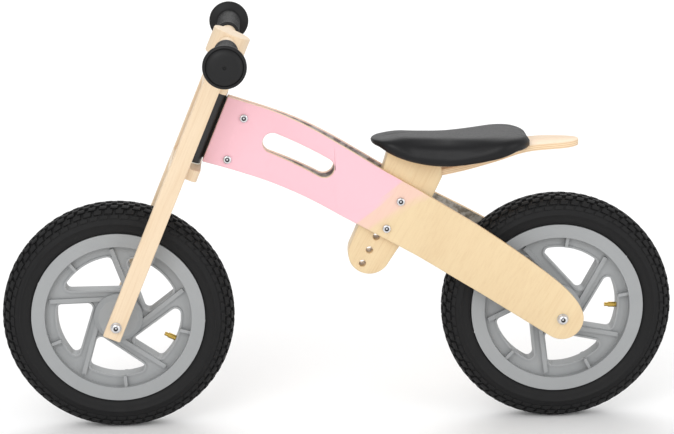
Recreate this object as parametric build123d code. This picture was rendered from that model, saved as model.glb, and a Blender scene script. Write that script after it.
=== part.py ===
from build123d import *
import math
import os

# A child's wooden balance bike: two bent plywood frame panels, a wooden fork that
# turns in a steel head tube, two moulded 12 inch wheels and a height-adjustable seat.
# Frame: origin on the ground midway between the wheels, +X to the rear,
# +Y to the rider's right, +Z up. Millimetres and degrees.

os.makedirs("parts", exist_ok=True)

# ---- driving dimensions ----
WHEELBASE = 565.0
TYRE_RADIUS = 148.5
TYRE_HALF_WIDTH = 23.5
TYRE_WALL = 3.5
STEER_LEAN = 22.8            # fork and head tube, from vertical
HEAD_OFFSET = 12.0           # steering axis behind the fork legs' centre line

# fork, measured along the legs from the front axle
LEG_WIDTH = 23.0
LEG_THICKNESS = 15.0
LEG_BELOW_AXLE = 17.0
LEG_ABOVE_AXLE = 350.0
FORK_HALF_GAP = 47.0         # inner faces of the legs
LOWER_CROWN_BASE = 208.0
LOWER_CROWN_HEIGHT = 14.5
UPPER_CROWN_BASE = 324.8
LOWER_CROWN_REACH = 27.0     # crowns' rear edges behind the legs' centre line
UPPER_CROWN_REACH = 22.0
CROWN_CORNER = 9.0
DOWEL_RADIUS = 4.0
DOWEL_IN_LEG = 10.0
DOWEL_IN_CROWN = 20.0

# head tube and steering pin
HEAD_TUBE_RADIUS = 12.5
HEAD_TUBE_WALL = 2.0
HEAD_PLAY = 0.3              # axial play at each bushing flange
BUSHING_FLANGE = 1.5
BUSHING_LENGTH = 14.0
PIN_RADIUS = 4.0
RUNNING_FIT = 0.05           # radial clearance of every turning fit
PIN_HEAD_RADIUS = 8.0
PIN_HEAD_HEIGHT = 4.5
PIN_NUT_RADIUS = 7.5
PIN_NUT_HEIGHT = 6.5

# stem block and handlebar
STEM_NECK_RADIUS = 18.0
STEM_NECK_HEIGHT = 12.0
STEM_RADIUS = 24.0
STEM_HEIGHT = 33.0
STEM_EDGE = 1.8
STEM_SETBACK = 2.0           # stem axis behind the legs' centre line
BAR_RADIUS = 11.0
BAR_BELOW_STEM_TOP = 14.5
BAR_HALF_LENGTH = 185.0
GRIP_RADIUS = 15.0
GRIP_LENGTH = 116.0
GRIP_FLANGE_RADIUS = 26.2
GRIP_FLANGE_WIDTH = 7.0
GRIP_DOME = 3.5
GRIP_END_WALL = 4.0

# frame panels
PANEL_THICKNESS = 8.0
CARRY_SLOT_WIDTH = 26.0
CARRY_SLOT_DROP = 1.3          # centre line under the points that the slot is drawn through
BRACKET_THICKNESS = 4.0      # steel plate between the panels at the head
POST_THICKNESS = 28.0        # wooden seat post between the panels
REAR_HALF_GAP = 60.0         # inner faces of the panels at the rear axle
PANEL_END_RADIUS = 27.0
PANEL_BEND = 60.0
HEAD_CLEARANCE = 1.2         # panels' front edge behind the head tube
BRACKET_REACH = 46.0         # bracket plate behind the head tube's axis
BRACKET_END_MARGIN = 4.0
HEAD_BOLT_SETBACK = 54.5     # behind the legs' centre line
HEAD_BOLT_SPAN = 57.0

# wheels
RIM_RADIUS = 111.0
RIM_HALF_WIDTH = 19.0
RIM_SIDE_INNER = 94.0
RIM_BED_RADIUS = 99.0
RIM_LIP = 3.0
WINDOW_OUTER = 79.5
WINDOW_INNER = 33.0
WINDOW_CORNER = 6.5
WEB_HALF = 9.0
RIB_HALF = 13.0
RIB_WIDTH = 5.5
RIB_TANGENT = 24.0           # radius that the ribs run tangent to
RIB_REACH = 90.0
RIB_ROOT = 12.0              # ribs run on into the hub past the tangent point
SPOKES = 5
SPOKE_LEAD = 4.5             # web on the rib's leading side
SPOKE_AT_RIM = 13.0          # web on the trailing side
SPOKE_AT_HUB = 10.5
WINDOW_LIP = 2.4
LIP_HALF = 11.0
STUB_HALF = 2.0              # short rib on the rim's inner wall, at each window
STUB_FROM_RIB = 36.0
FRONT_PHASE = 22.0
REAR_PHASE = 46.0
HUB_RADIUS = 31.0
HUB_HALF = 24.0
HUB_BEVEL = 12.0
BEARING_RADIUS = 11.0
BEARING_WIDTH = 7.0
BEARING_SEAT = 0.02
AXLE_RADIUS = 4.0
SLEEVE_RADIUS = 6.0
SPACER_RADIUS = 7.0
AXIAL_PLAY = 0.3
WASHER_RADIUS = 7.0
WASHER_THICKNESS = 1.5
AXLE_HEAD_RADIUS = 6.2
AXLE_HEAD_HEIGHT = 4.5
NUT_RADIUS = 6.5
NUT_HEIGHT = 6.5
VALVE_ANGLE_FROM_RIB = -47.5
VALVE_RADIUS = 3.4
VALVE_LENGTH = 30.0
TUBE_GAP = 0.3
TUBE_WALL = 1.3

# seat
POST_LEAN = 27.5
HOLE_PITCH = 19.7
HOLE_RADIUS = 4.5
HOLES_BELOW_BOLTS = 3
BOLT_DROP = 2.4              # lower seat bolt below the seat's datum
FREE_HOLES_FORWARD = 3.6     # free holes' row, from the bolts' row
FREE_HOLES_UP = 5.0
POST_LOBE_RADIUS = 27.4
POST_LOBE = (-21.6, -36.6)   # centre of the round foot, from the seat's datum
SEAT_NOSE_REACH = 19.0       # cushion in front of the lower seat bolt
SEAT_REAR_REACH = 188.0      # cushion behind it
SEAT_NOSE_RADIUS = 38.0
SEAT_REAR_RADIUS = 42.0
SEAT_HALF_WIDTH = 60.0
BASE_THICKNESS = 7.0
BOARD_THICKNESS = 8.0
BOARD_FRONT_HALF_WIDTH = 10.0
BOARD_TAIL_HALF_WIDTH = 28.0
BASE_INSET = 9.0
SOFT_GAP = 0.3
SCREW_RADIUS = 2.2
SCREW_HEAD_RADIUS = 4.2
SCREW_HEAD_HEIGHT = 2.4

# machine bolts
BOLT_RADIUS = 3.0
BOLT_FIT = 0.1
BOLT_HEAD_RADIUS = 5.5
BOLT_HEAD_HEIGHT = 3.2
SOCKET_RADIUS = 2.3

# ---- places worked out from them ----
REAR_X = WHEELBASE / 2
LEAN = math.radians(STEER_LEAN)
FORK = Plane(
    origin=(-WHEELBASE / 2, 0, TYRE_RADIUS),
    x_dir=(math.cos(LEAN), 0, -math.sin(LEAN)),
    z_dir=(math.sin(LEAN), 0, math.cos(LEAN)),
)
TUBE_BASE = LOWER_CROWN_BASE + LOWER_CROWN_HEIGHT + HEAD_PLAY + BUSHING_FLANGE
TUBE_TOP = UPPER_CROWN_BASE - HEAD_PLAY - BUSHING_FLANGE
TUBE_MIDDLE = (TUBE_BASE + TUBE_TOP) / 2
PANEL_FRONT = HEAD_OFFSET + HEAD_TUBE_RADIUS + HEAD_CLEARANCE
PANEL_HALF_FRONT = (TUBE_TOP - TUBE_BASE) / 2 - 4.5
HEAD_Y = BRACKET_THICKNESS / 2
SEAT_Y = POST_THICKNESS / 2
BAR_HEIGHT = LEG_ABOVE_AXLE + STEM_NECK_HEIGHT + STEM_HEIGHT - BAR_BELOW_STEM_TOP


def fork_point(back, up):
    """(x, z) of a point given behind the leg line and above the axle, along the fork."""
    x = -WHEELBASE / 2 + back * math.cos(LEAN) + up * math.sin(LEAN)
    z = TYRE_RADIUS - back * math.sin(LEAN) + up * math.cos(LEAN)
    return x, z


HEAD_POINT = fork_point(PANEL_FRONT, TUBE_MIDDLE)
CHORD = math.dist(HEAD_POINT, (REAR_X, TYRE_RADIUS))
CHORD_X = (REAR_X - HEAD_POINT[0]) / CHORD
CHORD_Z = (TYRE_RADIUS - HEAD_POINT[1]) / CHORD


def chord_point(share, rise):
    """(x, z) at a share of the way from the head to the rear axle, and above that line."""
    x = HEAD_POINT[0] + share * CHORD * CHORD_X - rise * CHORD_Z
    z = HEAD_POINT[1] + share * CHORD * CHORD_Z + rise * CHORD_X
    return x, z


SEAT_X, SEAT_Z = chord_point(0.503, -7.5)
POST_TILT = math.radians(POST_LEAN)


def seat_point(dx, dz):
    """(x, z) of a point given from the lower seat bolt."""
    return SEAT_X + dx, SEAT_Z + dz


def post_hole(step):
    """(x, z) of a hole of the seat post, counted in steps up from the lower bolt.

    The free holes below the bolts stand in a row of their own, a little further forward.
    """
    run = step * HOLE_PITCH
    x, z = run * math.sin(POST_TILT), run * math.cos(POST_TILT) - BOLT_DROP
    if step < 0:
        x -= FREE_HOLES_FORWARD
        z += FREE_HOLES_UP
    return seat_point(x, z)


# ---- shape helpers ----
def rod_y(radius, y0, y1, place=(0, 0)):
    """Round bar along Y between two faces, at (x, z)."""
    bar = Rot(90, 0, 0) * Cylinder(radius, y1 - y0)
    return Pos(place[0], (y0 + y1) / 2, place[1]) * bar


def ring_y(outer, inner, y0, y1, place=(0, 0)):
    """Round tube along Y between two faces."""
    return rod_y(outer, y0, y1, place) - rod_y(inner, y0, y1, place)


def rod_up(radius, z0, z1, x=0, y=0):
    """Round bar along local Z."""
    return Pos(x, y, (z0 + z1) / 2) * Cylinder(radius, z1 - z0)


def slab(x0, x1, y0, y1, z0, z1):
    """Box between two corners."""
    block = Box(x1 - x0, y1 - y0, z1 - z0)
    return Pos((x0 + x1) / 2, (y0 + y1) / 2, (z0 + z1) / 2) * block


def hexagon_y(radius, y0, y1, place=(0, 0)):
    """Hexagonal bar along Y, its radius taken at the corners."""
    face = Plane.XZ * RegularPolygon(radius, 6)
    return Pos(place[0], y1, place[1]) * extrude(face, y1 - y0)


def side_solid(face, half):
    """Side-view face in X and Z made as thick as 2 x half about the middle plane."""
    return extrude(Plane.XZ * face, half, both=True)


def group(solids):
    """Several loose solids as one node."""
    return Compound(children=list(solids))


def save(name, shape):
    """Write one node."""
    shape.label = name
    export_step(shape, f"parts/{name}.step")


def button_bolt(radius, head_radius, head_height, y_head, y_end, place):
    """Socket button-head bolt along +Y, its head's seat at y_head."""
    head = rod_y(head_radius, y_head - head_height, y_head, place)
    rim = head.edges().filter_by(GeomType.CIRCLE).sort_by(Axis.Y)[0]
    head = fillet(rim, head_height * 0.7)
    socket = hexagon_y(SOCKET_RADIUS, y_head - head_height, y_head - head_height / 2, place)
    return head - socket + rod_y(radius, y_head, y_end, place)


def cap_nut(y_seat, place, bore):
    """Domed nut on the end of a bolt, facing +Y."""
    base = hexagon_y(NUT_RADIUS, y_seat, y_seat + NUT_HEIGHT * 0.6, place)
    dome = rod_y(NUT_RADIUS * 0.8, y_seat, y_seat + NUT_HEIGHT, place)
    rim = dome.edges().filter_by(GeomType.CIRCLE).sort_by(Axis.Y)[-1]
    dome = fillet(rim, NUT_HEIGHT * 0.35)
    return base + dome - rod_y(bore, y_seat, y_seat + NUT_HEIGHT * 0.75, place)


# ---- frame panels ----
def panel_outline():
    """Side view of a frame panel, from the head to the rounded rear end."""
    head_top = fork_point(PANEL_FRONT, TUBE_MIDDLE + PANEL_HALF_FRONT)
    head_base = fork_point(PANEL_FRONT, TUBE_MIDDLE - PANEL_HALF_FRONT)
    end_back = (REAR_X + PANEL_END_RADIUS, TYRE_RADIUS)
    turn = math.radians(235)
    end_low = (
        REAR_X + PANEL_END_RADIUS * math.cos(turn),
        TYRE_RADIUS + PANEL_END_RADIUS * math.sin(turn),
    )
    end_base = (REAR_X, TYRE_RADIUS - PANEL_END_RADIUS)
    upper = [(0.104, 54.7), (0.255, 59.1), (0.41, 55.5), (0.574, 53.7), (0.844, 46.7)]
    lower = [(0.833, -24.3), (0.645, -22.9), (0.433, -22.5), (0.296, -22.4), (0.119, -33.1)]
    top = Spline(
        head_top, *[chord_point(*p) for p in upper], end_back,
        tangents=[(1, -0.36), (0, -1)], tangent_scalars=[0.7, 0.7],
    )
    end = ThreePointArc(end_back, end_base, end_low)
    bottom = Spline(end_low, *[chord_point(*p) for p in lower], head_base)
    front = Line(head_base, head_top)
    return make_face([top, end, bottom, front])


def plan_line(inner):
    """Corners in plan of a panel face, given its gap from the inner face."""
    rear_start = REAR_X - 20.0
    post_end = SEAT_X + 36.0
    post_start = SEAT_X - 60.0
    head_end = fork_point(HEAD_OFFSET + BRACKET_REACH + 8, TUBE_BASE)[0] + 48.0
    front = fork_point(0, LOWER_CROWN_BASE)[0] - 40.0
    back = REAR_X + PANEL_END_RADIUS + 20.0
    corners = [
        (front, HEAD_Y), (head_end, HEAD_Y), (post_start, SEAT_Y),
        (post_end, SEAT_Y), (rear_start, REAR_HALF_GAP), (back, REAR_HALF_GAP),
    ]
    moved = []
    for i, (x, y) in enumerate(corners):
        before = corners[max(i - 1, 0)]
        after = corners[min(i + 1, len(corners) - 1)]
        turn_in = math.atan2(y - before[1], x - before[0]) if i else 0.0
        turn_out = math.atan2(after[1] - y, after[0] - x) if i < len(corners) - 1 else 0.0
        middle = (turn_in + turn_out) / 2
        reach = inner / math.cos((turn_out - turn_in) / 2)
        moved.append((x - reach * math.sin(middle), y + reach * math.cos(middle)))
    return moved


def panel_strip():
    """The bent plywood sheet, as wide as it takes to cut the side view from."""
    near = FilletPolyline(*plan_line(0.0), radius=PANEL_BEND)
    far = FilletPolyline(*plan_line(PANEL_THICKNESS), radius=PANEL_BEND)
    front = Line(near @ 0, far @ 0)
    back = Line(near @ 1, far @ 1)
    sheet = make_face([near, back, far, front])
    return extrude(sheet, 2 * CHORD)


def carry_slot():
    """Curved finger slot behind the head."""
    start, middle, end = [chord_point(*p) for p in ((0.145, 19.6), (0.217, 22.7), (0.288, 23.4))]
    return Pos(0, -CARRY_SLOT_DROP) * SlotArc(ThreePointArc(start, middle, end), CARRY_SLOT_WIDTH)


def head_bolt_points():
    """(x, z) of the two bolts through the head bracket."""
    ups = (TUBE_MIDDLE - 2.0 - HEAD_BOLT_SPAN / 2, TUBE_MIDDLE - 2.0 + HEAD_BOLT_SPAN / 2)
    return [fork_point(HEAD_BOLT_SETBACK, up) for up in ups]


def seat_bolt_points():
    """(x, z) of the two bolts through the seat post."""
    return [post_hole(0), post_hole(2)]


def right_panel():
    """Frame panel on the rider's right."""
    panel = panel_strip() & side_solid(panel_outline(), 2 * REAR_HALF_GAP)
    panel -= side_solid(carry_slot(), 2 * REAR_HALF_GAP)
    for place in head_bolt_points() + seat_bolt_points():
        panel -= rod_y(BOLT_RADIUS + BOLT_FIT, 0, 2 * REAR_HALF_GAP, place)
    panel -= rod_y(AXLE_RADIUS + BOLT_FIT, 0, 2 * REAR_HALF_GAP, (REAR_X, TYRE_RADIUS))
    return panel


# ---- head tube, bushings and bracket ----
def head_bracket():
    """Steel head tube with the plate that the panels are bolted to."""
    tube = rod_up(HEAD_TUBE_RADIUS, TUBE_BASE, TUBE_TOP, HEAD_OFFSET)
    low = TUBE_MIDDLE - PANEL_HALF_FRONT + BRACKET_END_MARGIN
    high = TUBE_MIDDLE + PANEL_HALF_FRONT - BRACKET_END_MARGIN / 2
    half = BRACKET_THICKNESS / 2
    plate = slab(HEAD_OFFSET, HEAD_BOLT_SETBACK + 14.0, -half, half, low, high)
    bore = rod_up(HEAD_TUBE_RADIUS - HEAD_TUBE_WALL, TUBE_BASE, TUBE_TOP, HEAD_OFFSET)
    bracket = FORK.location * (tube + plate - bore)
    for place in head_bolt_points():
        bracket -= rod_y(BOLT_RADIUS + BOLT_FIT, -half, half, place)
    return bracket


def bushing(face, direction):
    """Flanged nylon bushing pressed into one end of the head tube."""
    ends = sorted((face, face - direction * BUSHING_FLANGE))
    flange = rod_up(HEAD_TUBE_RADIUS, ends[0], ends[1], HEAD_OFFSET)
    seat = face - direction * BUSHING_FLANGE
    ends = sorted((seat, seat - direction * BUSHING_LENGTH))
    body = rod_up(HEAD_TUBE_RADIUS - HEAD_TUBE_WALL, ends[0], ends[1], HEAD_OFFSET)
    bore = rod_up(PIN_RADIUS + RUNNING_FIT, TUBE_BASE - 10, TUBE_TOP + 10, HEAD_OFFSET)
    return FORK.location * (flange + body - bore)


# ---- fork ----
def crown_dowel_places(side):
    """(back, up) of the wooden dowels that join a leg to the crowns."""
    low = LOWER_CROWN_BASE + LOWER_CROWN_HEIGHT / 2
    high = (UPPER_CROWN_BASE + LEG_ABOVE_AXLE) / 2
    return [(back, up, side) for up in (low, high) for back in (-5.5, 5.5)]


def crown_dowel(back, up, side):
    """One dowel across a leg and crown joint, in fork space."""
    ends = sorted((side * (FORK_HALF_GAP - DOWEL_IN_CROWN), side * (FORK_HALF_GAP + DOWEL_IN_LEG)))
    return rod_y(DOWEL_RADIUS, ends[0], ends[1], (back, up))


def fork_leg(side):
    """Straight wooden fork leg."""
    inner = FORK_HALF_GAP
    outer = FORK_HALF_GAP + LEG_THICKNESS
    ends = sorted((side * inner, side * outer))
    half = LEG_WIDTH / 2
    leg = slab(-half, half, ends[0], ends[1], -LEG_BELOW_AXLE, LEG_ABOVE_AXLE)
    leg = fillet(leg.edges(), 1.8)
    leg -= rod_y(AXLE_RADIUS + BOLT_FIT, ends[0], ends[1])
    for place in crown_dowel_places(side):
        leg -= crown_dowel(*place)
    return FORK.location * leg


def crown(base, top, reach):
    """Wooden cross piece between the legs."""
    block = slab(-LEG_WIDTH / 2, reach, -FORK_HALF_GAP, FORK_HALF_GAP, base, top)
    uprights = block.edges().filter_by(Axis.Z).group_by(Axis.X)[-1]
    block = fillet(uprights, CROWN_CORNER)
    for side in (-1, 1):
        for place in crown_dowel_places(side):
            block -= crown_dowel(*place)
    return block - rod_up(PIN_RADIUS + BOLT_FIT, base, top, HEAD_OFFSET)


def lower_crown():
    """Cross piece under the head tube."""
    top = LOWER_CROWN_BASE + LOWER_CROWN_HEIGHT
    return FORK.location * crown(LOWER_CROWN_BASE, top, LOWER_CROWN_REACH)


PIN_NUT_SEAT = LEG_ABOVE_AXLE - PIN_NUT_HEIGHT - 4.0
STEM_BOLT_BACK = -3.5
STEM_BOLT_SEAT = UPPER_CROWN_BASE + 7.0
STEM_BOLT_TIP = BAR_HEIGHT + BAR_RADIUS / 2
STEM_SCREW_Y = 12.0
STEM_SCREW_TIP = BAR_HEIGHT - BAR_RADIUS - 3.0


def stem_fasteners():
    """The bolt into the handlebar and two screws into the stem block, in fork space."""
    bolt = rod_up(BOLT_RADIUS, STEM_BOLT_SEAT, STEM_BOLT_TIP, STEM_BOLT_BACK)
    bolt += rod_up(BOLT_HEAD_RADIUS, STEM_BOLT_SEAT - 3.5, STEM_BOLT_SEAT, STEM_BOLT_BACK)
    fasteners = [bolt]
    for y in (-STEM_SCREW_Y, STEM_SCREW_Y):
        screw = rod_up(SCREW_RADIUS, STEM_BOLT_SEAT, STEM_SCREW_TIP, STEM_SETBACK - 4, y)
        screw += rod_up(SCREW_HEAD_RADIUS, STEM_BOLT_SEAT - 3, STEM_BOLT_SEAT, STEM_SETBACK - 4, y)
        fasteners.append(screw)
    return fasteners


def upper_crown():
    """Cross piece over the head tube, bored for the pin's nut and the stem fasteners."""
    block = crown(UPPER_CROWN_BASE, LEG_ABOVE_AXLE, UPPER_CROWN_REACH)
    block -= rod_up(PIN_NUT_RADIUS + 1, PIN_NUT_SEAT, LEG_ABOVE_AXLE, HEAD_OFFSET)
    block -= rod_up(BOLT_HEAD_RADIUS, UPPER_CROWN_BASE, STEM_BOLT_SEAT, STEM_BOLT_BACK)
    for y in (-STEM_SCREW_Y, STEM_SCREW_Y):
        block -= rod_up(SCREW_HEAD_RADIUS, UPPER_CROWN_BASE, STEM_BOLT_SEAT, STEM_SETBACK - 4, y)
    for fastener in stem_fasteners():
        block -= fastener
    return FORK.location * block


def steering_pin():
    """Long button-head pin that the head tube turns on."""
    seat = LOWER_CROWN_BASE
    head = rod_up(PIN_HEAD_RADIUS, seat - PIN_HEAD_HEIGHT, seat, HEAD_OFFSET)
    rim = head.edges().filter_by(GeomType.CIRCLE).sort_by(Axis.Z)[0]
    head = fillet(rim, PIN_HEAD_HEIGHT * 0.6)
    shank = rod_up(PIN_RADIUS, seat, PIN_NUT_SEAT + PIN_NUT_HEIGHT, HEAD_OFFSET)
    return FORK.location * (head + shank)


def steering_nut():
    """Locking nut sunk in the upper crown."""
    face = Pos(HEAD_OFFSET, 0, PIN_NUT_SEAT) * RegularPolygon(PIN_NUT_RADIUS, 6)
    nut = extrude(face, PIN_NUT_HEIGHT)
    bore = rod_up(PIN_RADIUS, PIN_NUT_SEAT, PIN_NUT_SEAT + PIN_NUT_HEIGHT, HEAD_OFFSET)
    return FORK.location * (nut - bore)


def stem_block():
    """Turned wooden block that carries the handlebar."""
    base = LEG_ABOVE_AXLE
    top = base + STEM_NECK_HEIGHT + STEM_HEIGHT
    shoulder = base + STEM_NECK_HEIGHT
    face = make_face(Polyline(
        (0, base), (STEM_NECK_RADIUS, base), (STEM_NECK_RADIUS, shoulder),
        (STEM_RADIUS, shoulder), (STEM_RADIUS, top), (0, top), close=True,
    ))
    rounded = [v for v in face.vertices() if v.X > STEM_RADIUS - 1]
    face = Plane.XZ * fillet(rounded, STEM_EDGE)
    block = Pos(STEM_SETBACK, 0, 0) * revolve(face, Axis.Z)
    block -= rod_y(BAR_RADIUS, -2 * STEM_RADIUS, 2 * STEM_RADIUS, (0, BAR_HEIGHT))
    for fastener in stem_fasteners():
        block -= fastener
    return FORK.location * block


def handlebar():
    """Wooden dowel through the stem block."""
    bar = rod_y(BAR_RADIUS, -BAR_HALF_LENGTH, BAR_HALF_LENGTH, (0, BAR_HEIGHT))
    return FORK.location * (bar - stem_fasteners()[0])


def right_grip():
    """Rubber grip with a safety flange and a domed end."""
    end = BAR_HALF_LENGTH + GRIP_END_WALL
    start = end - GRIP_LENGTH
    neck = end - GRIP_FLANGE_WIDTH
    face = make_face(Polyline(
        (BAR_RADIUS, start), (GRIP_RADIUS, start), (GRIP_RADIUS, neck),
        (GRIP_FLANGE_RADIUS, neck), (GRIP_FLANGE_RADIUS, end),
        (GRIP_FLANGE_RADIUS - 4.0, end), (GRIP_FLANGE_RADIUS - 8.0, end + GRIP_DOME),
        (0, end + GRIP_DOME), (0, BAR_HALF_LENGTH), (BAR_RADIUS, BAR_HALF_LENGTH), close=True,
    ))
    rounded = [v for v in face.vertices() if v.X > GRIP_FLANGE_RADIUS - 1]
    face = fillet(rounded, GRIP_FLANGE_WIDTH * 0.3)
    return FORK.location * Pos(0, 0, BAR_HEIGHT) * revolve(face, Axis.Y)


# ---- wheels, built about the origin with the axle along Y ----
def wheel_face(points):
    """Closed face in radius and Y for a turned shape."""
    return make_face(Polyline(*points, close=True))


def spoke_line(phase, index):
    """End points of a rib's centre line, tangent to the hub, in the wheel's side view."""
    angle = math.radians(phase + index * 360 / SPOKES)
    swing = math.acos(RIB_TANGENT / RIB_REACH)
    foot = angle - swing
    inner = (
        RIB_TANGENT * math.cos(foot) + RIB_ROOT * math.sin(foot),
        RIB_TANGENT * math.sin(foot) - RIB_ROOT * math.cos(foot),
    )
    outer = (RIB_REACH * math.cos(angle), RIB_REACH * math.sin(angle))
    return inner, outer


def tapered_bar(start, end, left, right_start, right_end):
    """Side-view face of a bar that reaches to the left and right of a line."""
    dx, dy = end[0] - start[0], end[1] - start[1]
    length = math.hypot(dx, dy)
    nx, ny = -dy / length, dx / length
    corners = []
    for (px, py), right in ((start, right_start), (end, right_end)):
        corners.append((px + nx * left, py + ny * left))
        corners.append((px - nx * right, py - ny * right))
    return make_face(Polyline(corners[0], corners[1], corners[3], corners[2], close=True))


def window_faces(phase):
    """The five rounded openings between the spokes, in the side view."""
    area = Circle(WINDOW_OUTER) - Circle(WINDOW_INNER)
    for index in range(SPOKES):
        start, end = spoke_line(phase, index)
        area -= tapered_bar(start, end, SPOKE_LEAD, SPOKE_AT_HUB, SPOKE_AT_RIM)
    windows = [make_face(face.outer_wire()) for face in area.faces() if face.area > 300]
    return [fillet(window.vertices(), WINDOW_CORNER) for window in windows]


def rim(phase):
    """Moulded wheel: rim channel, pierced web, ribs and hub in one piece."""
    half = RIM_HALF_WIDTH
    floor_y = half - RIM_LIP
    side = wheel_face([
        (RIM_SIDE_INNER, -half), (RIM_RADIUS, -half), (RIM_RADIUS, -floor_y),
        (RIM_BED_RADIUS, -floor_y), (RIM_BED_RADIUS, floor_y), (RIM_RADIUS, floor_y),
        (RIM_RADIUS, half), (RIM_SIDE_INNER, half),
    ])
    ring = revolve(side, Axis.Y)
    web = ring_y(RIM_SIDE_INNER, HUB_RADIUS - 4, -WEB_HALF, WEB_HALF)
    windows = window_faces(phase)
    for window in windows:
        web += side_solid(offset(window, WINDOW_LIP), LIP_HALF)
    for window in windows:
        web -= side_solid(window, 2 * half)
    hub = revolve(wheel_face([
        (0, -HUB_HALF), (HUB_BEVEL, -HUB_HALF), (HUB_RADIUS - 6, -HUB_HALF + 2),
        (HUB_RADIUS, -RIB_HALF - 3), (HUB_RADIUS, RIB_HALF + 3),
        (HUB_RADIUS - 6, HUB_HALF - 2), (HUB_BEVEL, HUB_HALF), (0, HUB_HALF),
    ]), Axis.Y)
    wheel = ring + web + hub
    for index in range(SPOKES):
        start, end = spoke_line(phase, index)
        wheel += side_solid(tapered_bar(start, end, *[RIB_WIDTH / 2] * 3), RIB_HALF)
        stub = slab(WINDOW_OUTER + 1, RIM_SIDE_INNER + 1, -floor_y, floor_y, -STUB_HALF, STUB_HALF)
        wheel += Rot(0, -(phase + STUB_FROM_RIB + index * 360 / SPOKES), 0) * stub
    sleeve_bore = HUB_HALF - BEARING_WIDTH
    wheel -= rod_y(SLEEVE_RADIUS + 2, -HUB_HALF, HUB_HALF)
    for side_sign in (-1, 1):
        ends = sorted((side_sign * sleeve_bore, side_sign * HUB_HALF))
        wheel -= rod_y(BEARING_RADIUS, ends[0], ends[1])
    return wheel - valve_hole(phase)


def valve_direction(phase):
    """Angle of the valve in the side view."""
    return phase + VALVE_ANGLE_FROM_RIB


def valve_rod(phase, radius, inner, outer):
    """Round bar along the valve's direction between two radii."""
    bar = rod_up(radius, inner, outer)
    return Rot(0, 90 - valve_direction(phase), 0) * bar


def valve_hole(phase):
    """Hole through the rim bed for the valve."""
    return valve_rod(phase, VALVE_RADIUS + 0.2, RIM_SIDE_INNER - 30, RIM_RADIUS)


def tyre():
    """Tyre casing, hollow, with its beads in the rim channel."""
    half = TYRE_HALF_WIDTH
    bead = RIM_HALF_WIDTH - RIM_LIP - 0.1
    cavity_r = RIM_RADIUS + (TYRE_RADIUS - RIM_RADIUS) / 2 - 1
    cavity = min(half, (TYRE_RADIUS - RIM_RADIUS) / 2 + 2) - TYRE_WALL - 0.5
    rise = TYRE_RADIUS - RIM_RADIUS
    right = [
        (RIM_BED_RADIUS + 0.3, bead), (RIM_RADIUS + 0.2, bead),
        (RIM_RADIUS + 0.10 * rise, RIM_HALF_WIDTH + 0.5), (RIM_RADIUS + 0.42 * rise, half),
        (RIM_RADIUS + 0.74 * rise, half * 0.93), (RIM_RADIUS + 0.92 * rise, half * 0.72),
        (TYRE_RADIUS, half * 0.30),
    ]
    left = [(r, -y) for r, y in reversed(right)]
    casing = revolve(wheel_face(right + left), Axis.Y)
    channel = ring_y(cavity_r, RIM_BED_RADIUS - 1, -bead + TYRE_WALL, bead - TYRE_WALL)
    hollow = revolve(Pos(cavity_r, 0) * Circle(cavity), Axis.Y)
    return casing - channel - hollow


def inner_tube():
    """Inflated rubber tube inside the tyre."""
    centre = RIM_RADIUS + (TYRE_RADIUS - RIM_RADIUS) / 2 - 1
    radius = min(TYRE_HALF_WIDTH, (TYRE_RADIUS - RIM_RADIUS) / 2 + 2) - TYRE_WALL - 0.5 - TUBE_GAP
    section = Circle(radius) - Circle(radius - TUBE_WALL)
    return revolve(Pos(centre, 0) * section, Axis.Y)


def valve(phase):
    """Brass valve stem with its rubber foot, just clear of the tube."""
    foot = RIM_BED_RADIUS + 4.0
    stem = valve_rod(phase, VALVE_RADIUS, RIM_SIDE_INNER + VALVE_LENGTH / 6 - VALVE_LENGTH, foot)
    collar = valve_rod(phase, VALVE_RADIUS + 1.2, RIM_BED_RADIUS + 0.3, foot)
    tip = valve_rod(phase, VALVE_RADIUS - 0.9, RIM_SIDE_INNER - VALVE_LENGTH, RIM_SIDE_INNER - 22)
    return stem + collar + tip


def hub_bearings():
    """Two sealed ball bearings, drawn as closed rings with shield grooves."""
    rings = []
    for side in (-1, 1):
        ends = sorted((side * (HUB_HALF - BEARING_WIDTH), side * HUB_HALF))
        ring = ring_y(BEARING_RADIUS - BEARING_SEAT, AXLE_RADIUS + RUNNING_FIT, ends[0], ends[1])
        face = side * HUB_HALF
        groove = sorted((face, face - side * 0.6))
        ring -= ring_y(BEARING_RADIUS - 2.2, AXLE_RADIUS + 2.2, groove[0], groove[1])
        rings.append(ring)
    return rings


def axle_parts(half_gap, wall, place):
    """Axle bolt, nut, washers, spacers and sleeve for one wheel, by name."""
    outer = half_gap + wall
    seat = outer + WASHER_THICKNESS
    bolt = button_bolt(
        AXLE_RADIUS, AXLE_HEAD_RADIUS, AXLE_HEAD_HEIGHT, -seat, seat + NUT_HEIGHT * 0.7, place)
    bore = AXLE_RADIUS + BOLT_FIT
    washers = [
        ring_y(WASHER_RADIUS, bore, -seat, -outer, place),
        ring_y(WASHER_RADIUS, bore, outer, seat, place),
    ]
    inner = HUB_HALF + AXIAL_PLAY
    spacers = [
        ring_y(SPACER_RADIUS, bore, -half_gap, -inner, place),
        ring_y(SPACER_RADIUS, bore, inner, half_gap, place),
    ]
    reach = HUB_HALF - BEARING_WIDTH - AXIAL_PLAY
    return {
        "bolt": bolt,
        "nut": cap_nut(seat, place, AXLE_RADIUS),
        "washers": group(washers),
        "spacers": group(spacers),
        "sleeve": ring_y(SLEEVE_RADIUS, bore, -reach, reach, place),
    }


# ---- seat ----
def base_underside():
    """Side-view line along the underside of the seat base, nose first."""
    points = [(-11, 105), (35, 88), (75, 85.5), (118, 90), (173, 101.5)]
    return [seat_point(*p) for p in points]


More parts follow.
